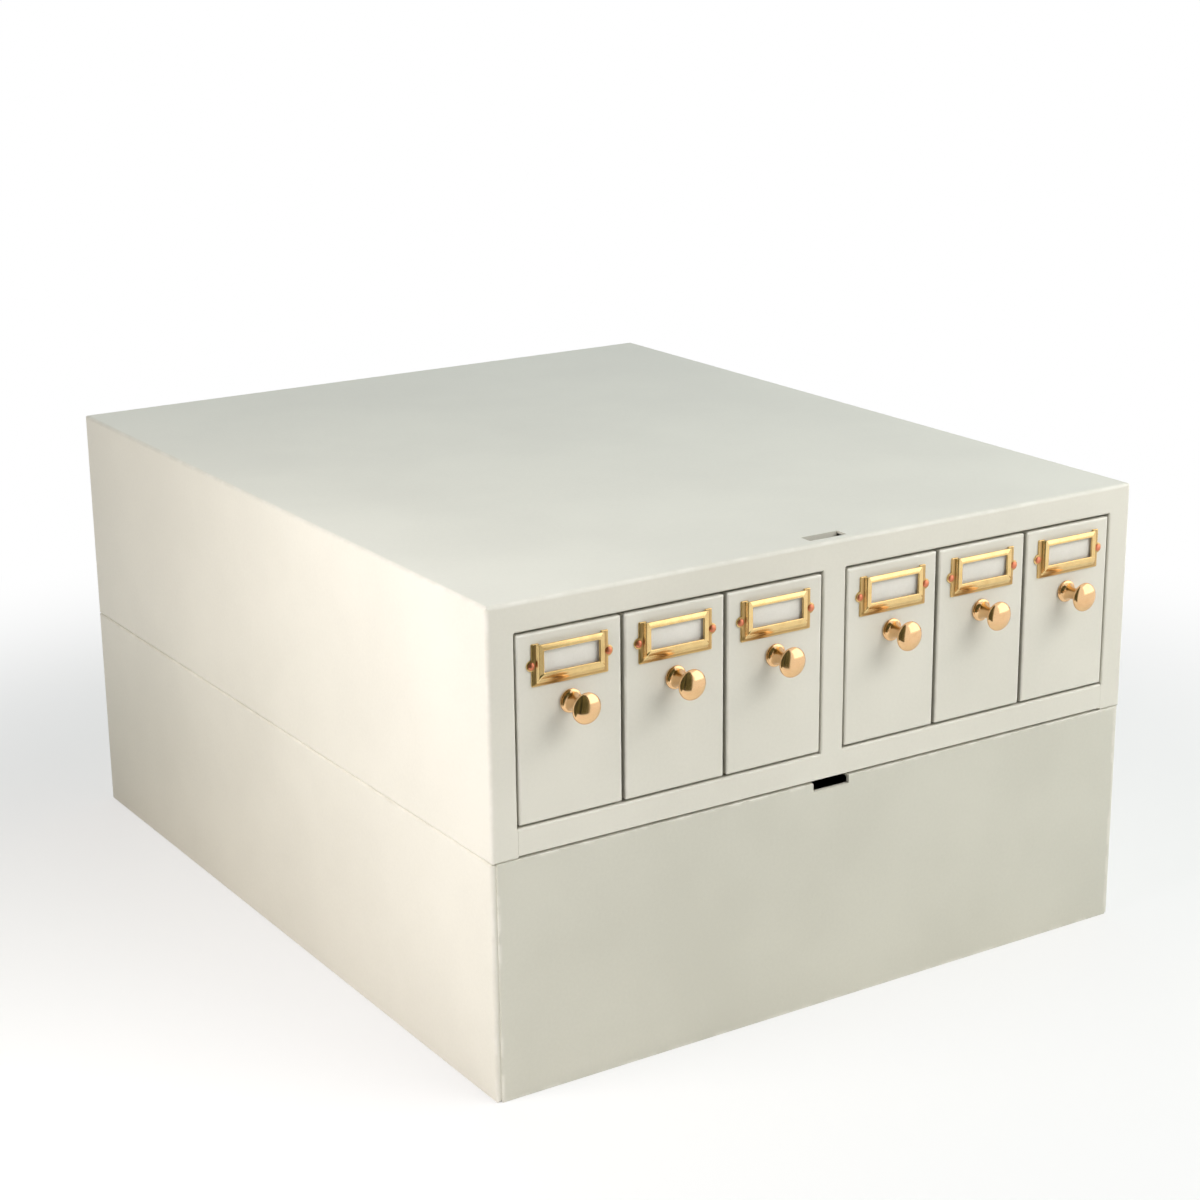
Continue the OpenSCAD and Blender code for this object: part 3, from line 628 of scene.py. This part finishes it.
# %% Bow the cards
def bowed_card(low, high, bow=0.4 * MM):
    """The card's edge, a thin rounded rectangle in Y and Z, carried along X while Y follows the arc
    bow * (1 - (x / half)2). Its first and last rows close on the strip's middle line."""
    half, thick = (high.x - low.x) / 2, high.y - low.y
    middle_z, tall = (low.z + high.z) / 2, (high.z - low.z) / 2
    loop_y = np.array([-0.5, -0.5, -0.4, 0, 0.4, 0.5, 0.5, 0.5, 0.4, 0, -0.4, -0.5, -0.5])
    loop_z = np.array([0, 0.98, 0.996, 1, 0.996, 0.98, 0, -0.98, -0.996, -1, -0.996, -0.98, 0])
    across = np.concatenate([[-1], np.linspace(-1, 1, 33), [1]])[:, None]
    plump = np.ones_like(across)
    plump[[0, -1]] = 0
    x = (low.x + high.x) / 2 + half * across + 0 * loop_y
    y = high.y - thick / 2 - bow * (1 - across ** 2) + thick * loop_y * plump
    return np.stack([x, y, middle_z + tall * loop_z + 0 * across], -1)


for i in DRAWERS:
    grid = bowed_card(*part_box(f"drawer_{i}_label_card"))
    piece_from_grids(f"bowed_card_{i}", [grid], card_white, f"drawer_{i}",
                     [f"drawer_{i}_label_card"])

# %% [markdown]
# ## Rivets
# A rivet is a copper pin: a domed head outside, a shank through ear and front, and an end that a press
# has spread inside the drawer. It is one outline, turned, and each drawer has two. The photo shows smaller
# and flatter heads than the construction's, so they are drawn that way, each in its solid's middle.

# %% Head the rivets
RIVET_HEAD, SOLID_HEAD, LOWERED = 1.8 * MM, 2.1 * MM, 0.45 * MM


def rivet_outline(head, reach, tail):
    """From the spread end inside, along the shank, to the dome: a quarter of an ellipse."""
    shank, ear, front = 1.2 * MM, SHEET, -0.8 * MM
    turn, rim = np.linspace(0, np.pi / 2, 17), ear + 0.15 * MM
    dome = np.stack([head * np.cos(turn), rim + (reach - rim) * np.sin(turn)], -1)
    dome[-1, 0] = 0
    pin = [[0, tail], [head - 0.3 * MM, tail], [head - 0.08 * MM, tail + 0.12 * MM],
           [head, front - 0.1 * MM], [head, front], [shank, front], [shank, ear], [head, ear]]
    return np.concatenate([pin, dome])


for i in DRAWERS:
    low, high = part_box(f"drawer_{i}_rivets")
    outline = rivet_outline(RIVET_HEAD, front_y - low.y - LOWERED, front_y - high.y)
    grids = [turned(outline, FULL_TURN[::2]) + np.array([x, front_y, (low.z + high.z) / 2])
             for x in (low.x + SOLID_HEAD, high.x - SOLID_HEAD)]
    piece_from_grids(f"round_rivets_{i}", grids, copper, f"drawer_{i}",
                     [f"drawer_{i}_rivets"])

# %% [markdown]
# ## Knob screws
# Behind each knob, inside the drawer, sits the head of its screw: low, rounded, with a slot for the
# driver. The shank is an outline, turned. The head's face is a disc drawn in straight lines across, so
# that the slot's walls run along its lines, and the shank is turned at the angles where those lines end.

# %% Slot the screws
SCREW_SHANK = 2.0 * MM


def slotted_screw(radius, shank, head_at, head_top, tip):
    """Head: height falls by (r / R)2 to the rim, and by the slot's depth between its walls."""
    slot_half, slot_depth, slot_end, crown = 0.55 * MM, 1.0 * MM, 0.12, 0.7 * MM
    nearest = np.pi / 2 + 0.16
    edge = radius * np.cos(np.linspace(np.pi, nearest, 12))
    floor = np.linspace(-slot_half, slot_half, 4)
    x = np.concatenate([edge, floor[:1], floor, floor[-1:], -edge[::-1]])
    deep = np.zeros(len(x))
    deep[len(edge) + 1:len(edge) + 1 + len(floor)] = slot_depth
    along = np.linspace(-1, 1, 25)
    z = along * np.sqrt(np.clip(radius ** 2 - x ** 2, 0, None))[:, None]
    bowl = (x[:, None] ** 2 + z ** 2) / radius ** 2
    depth = deep[:, None] * np.clip((1 - abs(along)) / slot_end, 0, 1)
    face = np.stack([x[:, None] + 0 * z, head_top - crown * bowl - depth, z], -1)
    half_turn = np.arccos(np.clip(x[::-1] / radius, -1, 1))
    angles = np.concatenate([half_turn, 2 * np.pi - half_turn[::-1]])
    point = 0.5 * MM
    outline = np.array([[0, -tip], [shank - point, -tip], [shank, -tip - point], [shank, -head_at],
                        [radius, -head_at], [radius, -(head_top - crown)]])
    return [face, turned(outline, angles)]


for i in DRAWERS:
    low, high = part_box(f"drawer_{i}_knob_screw")
    middle = np.array([(low.x + high.x) / 2, front_y, (low.z + high.z) / 2])
    head_top, tip = high.y - front_y, low.y - front_y
    grids = slotted_screw((high.x - low.x) / 2, SCREW_SHANK, SHEET, head_top, tip)
    piece_from_grids(f"slotted_screw_{i}", [grid + middle for grid in grids], zinc, f"drawer_{i}",
                     [f"drawer_{i}_knob_screw"])

# %% [markdown]
# ## Bumpers
# The drawers close against rubber bumpers on the back panel. Each was moulded with a slight taper, a
# rounded rim and a shallow dish in its face: again an outline, turned six times into one piece.

# %% Mould the bumpers
low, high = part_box("rear_bumpers")
thick, radius = high.y - low.y, (high.z - low.z) / 2
rim_r, taper, dish_deep, foot_high = 1.4 * MM, 0.5 * MM, 0.5 * MM, 0.6 * MM
flat_r = radius - taper - rim_r
turn = np.linspace(0, np.pi / 2, 9)
rim = np.stack([flat_r + rim_r * np.cos(turn), thick - rim_r + rim_r * np.sin(turn)], -1)
inward = np.linspace(flat_r, 0, 12)[1:]
dish = np.stack([inward, thick - dish_deep * (1 - (inward / flat_r) ** 2)], -1)
bumper = np.concatenate([[[0, 0], [radius, 0], [radius, foot_high]], rim, dish])
grids = [turned(bumper) + np.array([lane_middle[i], high.y, (low.z + high.z) / 2]) for i in DRAWERS]
piece_from_grids("moulded_bumpers", grids, rubber_black, "cabinet", ["rear_bumpers"])

# %% [markdown]
# ## Floor
# The cabinet stands on a pale floor that keeps its soft shadow and fades to white. A painted backdrop
# would need its own light, so the floor itself turns to plain white with distance, for the eye alone near
# the cabinet and for bright metal further off. Under the cabinet it stays matt.

# %% Floor
def floor_finish():
    """Pale floor that fades to plain white away from the object. Under the object it stays matt."""
    material = bpy.data.materials.new("studio_floor")
    material.use_nodes = True
    tree = material.node_tree
    tree.nodes.remove(tree.nodes["Principled BSDF"])
    place = Wire(tree, tree.nodes.new("ShaderNodeTexCoord").outputs["Object"])
    x, y, _ = place.axes()
    rays = tree.nodes.new("ShaderNodeLightPath")
    eye, through, shine = [Wire(tree, rays.outputs[f"Is {kind} Ray"])
                           for kind in ("Camera", "Transmission", "Glossy")]
    seen = eye.high(through)
    outside = (abs(x) - base_high.x).high((base_low.y - y).high(y - base_high.y)).ease(-2 * MM, 0)
    fade_start, fade_end, near_white = 0.35, 0.75, 0.55
    far = place.node("ShaderNodeVectorMath", {"operation": "LENGTH"}, {0: place}, 1)
    far = far.ease(fade_start, fade_end)
    white = place.node("ShaderNodeEmission", None, {"Color": (1, 1, 1, 1), "Strength": 1.0})
    matt = place.node("ShaderNodeBsdfDiffuse", None, {"Color": colour(240, 239, 236)})
    whiten = (seen * (far * (1 - near_white) + near_white)).high(shine * far)
    both = place.node("ShaderNodeMixShader", None, {0: outside * whiten, 1: matt, 2: white})
    place.plug(tree.nodes["Material Output"].inputs["Surface"], both)
    return material


def stage_sheet(name, grid, finish):
    """A sheet of the studio from one grid of points. It isn't part of the object."""
    mesh = bpy.data.meshes.new(name)
    mesh.from_pydata(grid.reshape(-1, 3).tolist(), [], grid_faces(*grid.shape[:2]).tolist())
    mesh.materials.append(finish)
    made = bpy.data.objects.new(name, mesh)
    bpy.context.scene.collection.objects.link(made)
    made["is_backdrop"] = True
    return made


FLOOR_HALF = 15
x, y = np.meshgrid(*[np.linspace(-FLOOR_HALF, FLOOR_HALF, 9)] * 2)
stage_sheet("studio_floor", np.stack([x, y, 0 * x], -1), floor_finish())

# %% [markdown]
# ## Flag
# Polished brass shows the room it stands in. The photo's knobs have a dark olive side, and so does the
# left slope of each label holder. Painted on, it would stay there when the view turns. A sheet that glows
# dim olive does it instead, as a painted reflection: it hangs at the front left and leans over the cabinet
# towards its top, with an apron of it on the floor, and only shine can see it.

# %% Flag
def reflection_glow_sheet():
    """A sheet that glows dim olive in upright bands, a painted reflection: noise stretched along Z sets how
    much each band gives off.
    """
    material = bpy.data.materials.new("reflection_glow_sheet")
    material.use_nodes = True
    tree = material.node_tree
    tree.nodes.remove(tree.nodes["Principled BSDF"])
    place = Wire(tree, tree.nodes.new("ShaderNodeTexCoord").outputs["Object"])
    glow_bands = place.stretched(1, 1, 0.15).noise(0.14, 2.0, 0.5).ease(0.3, 0.72)
    olive = glow_bands.tint((0.008, 0.009, 0.004, 1), (0.2, 0.21, 0.11, 1))
    glow = place.node("ShaderNodeEmission", None, {"Color": olive})
    place.plug(tree.nodes["Material Output"].inputs["Surface"], glow)
    return material


FLAG_EDGE, FLAG_LEFT, FLAG_NEAR, FLAG_BACK = 0.045, -0.75, -0.57, -0.28
FLAG_BEND, FLAG_FOOT, APRON_END = 0.2, 0.002, -0.3
turn = np.linspace(0, np.pi / 2, 9)
bend = np.stack([FLAG_LEFT + FLAG_BEND - FLAG_BEND * np.sin(turn),
                 FLAG_NEAR + FLAG_BEND - FLAG_BEND * np.cos(turn)], -1)
around = np.concatenate([[[FLAG_EDGE, FLAG_NEAR]], bend, [[FLAG_LEFT, FLAG_BACK]]])
level = np.array([FLAG_FOOT, 1.2, 1.4, 1.5])[:, None]
lean = np.array([1.0, 1.0, 0.8, 0.3])[:, None]
hung = [FLAG_EDGE + lean * (around[:, 0] - FLAG_EDGE), around[:, 1] * lean, level + 0 * around[:, 0]]
x, y = np.meshgrid(np.linspace(FLAG_LEFT, APRON_END, 3), np.linspace(FLAG_NEAR, APRON_END, 3))
lying = [x, y, 0 * x + FLAG_FOOT]
# The sheet glows dim olive and only shine sees it: a painted reflection in the bright metal.
glow_sheet = reflection_glow_sheet()
for name, sheet in (("dim_flag", np.stack(hung, -1)), ("dim_apron", np.stack(lying, -1))):
    flag = stage_sheet(name, sheet, glow_sheet)
    flag.visible_camera = flag.visible_diffuse = flag.visible_shadow = flag.visible_transmission = False
    print(name, "points", len(flag.data.vertices))

# %% [markdown]
# ## Light
# A large key lamp high at the front right lights the front, and throws the knobs' shadows to the lower
# left. Front and brow lamps soften them, and a cool lamp overhead lights the top. Two lamps stand beside the
# left side, a warm one and a cool one near its front edge. One behind keeps the back readable. The world is
# white to the eye and to bright metal, but dim to everything else, so the lamps stay in charge.

# %% Lamps and world
def soft_lamp(name, place, aim, width, height, power, tone, shines=True):
    """A rectangular lamp at a place, turned to its aim, unseen by the camera."""
    lamp = bpy.data.lights.new(name, "AREA")
    lamp.shape, lamp.size, lamp.size_y = "RECTANGLE", width, height
    lamp.energy, lamp.color = power, tone
    made = bpy.data.objects.new(name, lamp)
    made.location = place
    made.rotation_euler = (Vector(aim) - Vector(place)).to_track_quat("-Z", "Y").to_euler()
    made.visible_camera, made.visible_glossy = False, shines
    bpy.context.scene.collection.objects.link(made)
    return made


LAMPS = {
    "left_lamp": ((-0.66, -0.18, 0.41), (-0.19, -0.19, 0.13), 0.4, 0.4, 3.0, (1.0, 0.935, 0.85), False),
    "near_lamp": ((-0.5, -0.25, 0.34), (-0.19, -0.24, 0.15), 0.25, 0.25, 0.42, (0.62, 0.66, 1.0), False),
    "key_lamp": ((1.7, -1.4, 0.95), (0.0, -0.2, 0.15), 2.4, 2.0, 16.5, (1.0, 1.0, 0.99)),
    "front_lamp": ((0.7, -2.2, 1.3), (0.0, -0.2, 0.15), 2.0, 1.6, 7.2, (1.0, 1.0, 0.99), False),
    "brow_lamp": ((0.4, -0.8, 0.9), (0.0, -0.22, 0.2), 1.0, 0.4, 6.0, (1.0, 0.99, 0.98), False),
    "top_lamp": ((0.6, 0.1, 1.7), (0.0, 0.0, 0.2), 1.4, 1.2, 5.0, (0.58, 0.93, 1.0), False),
    "back_lamp": ((0.9, 1.7, 0.4), (0.0, 0.2, 0.13), 1.2, 0.8, 8.5, (1.0, 0.99, 0.96), False),
}
for name, settings in LAMPS.items():
    soft_lamp(name, *settings)

WORLD_DIM = 0.125
world = bpy.data.worlds.new("studio")
bpy.context.scene.world = world
world.use_nodes = True
sky = world.node_tree
dim = sky.nodes["Background"]
dim.inputs["Color"].default_value = (1.0, 0.995, 0.985, 1.0)
dim.inputs["Strength"].default_value = WORLD_DIM
path = sky.nodes.new("ShaderNodeLightPath")
seen = Wire(sky, path.outputs["Is Camera Ray"]).high(Wire(sky, path.outputs["Is Glossy Ray"]))
seen = seen.high(Wire(sky, path.outputs["Is Transmission Ray"]))
bright = seen.node("ShaderNodeBackground", None, {"Color": (1, 1, 1, 1), "Strength": 1.0})
mixed = seen.node("ShaderNodeMixShader", None, {0: seen, 1: Wire(sky, dim.outputs[0]), 2: bright})
seen.plug(sky.nodes["World Output"].inputs["Surface"], mixed)
print("lamps", list(LAMPS))

# %% [markdown]
# ## Camera
# The angle, distance and lens were found by matching the cabinet's corners with the photo's, so that the
# picture can be laid over it. They are kept as angles about a point in the cabinet.

# %% Camera
AZIMUTH, ELEVATION, ROLL = math.radians(-32.59), math.radians(16.94), math.radians(0.62)
DISTANCE, FOCAL_PIXELS, FRAME_PIXELS, SENSOR = 1.4016, 2462.5, 1200, 36.0
target = Vector((0.0201, 0.240 + front_y, 0.1476))
level = math.cos(ELEVATION)
back = Vector((math.sin(AZIMUTH) * level, -math.cos(AZIMUTH) * level, math.sin(ELEVATION)))
lens = bpy.data.cameras.new("camera")
lens.sensor_width, lens.lens = SENSOR, FOCAL_PIXELS / FRAME_PIXELS * SENSOR
lens.clip_start, lens.clip_end = 0.01, 100.0
camera = bpy.data.objects.new("camera", lens)
camera.rotation_mode = "QUATERNION"
camera.location = target + back * DISTANCE
upright = (-back).to_track_quat("-Z", "Y")
camera.rotation_quaternion = upright @ Matrix.Rotation(-ROLL, 4, "Z").to_quaternion()
bpy.context.scene.collection.objects.link(camera)
bpy.context.scene.camera = camera
bpy.context.scene.view_settings.view_transform = "Standard"
print("camera at", camera.location[:], "lens", lens.lens)

# %% [markdown]
# ## Sizes
# The dressed cabinet has to stay inside the construction's box, so the dressed cabinet's box is measured.

# %% Keep the sizes and finish
low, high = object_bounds()
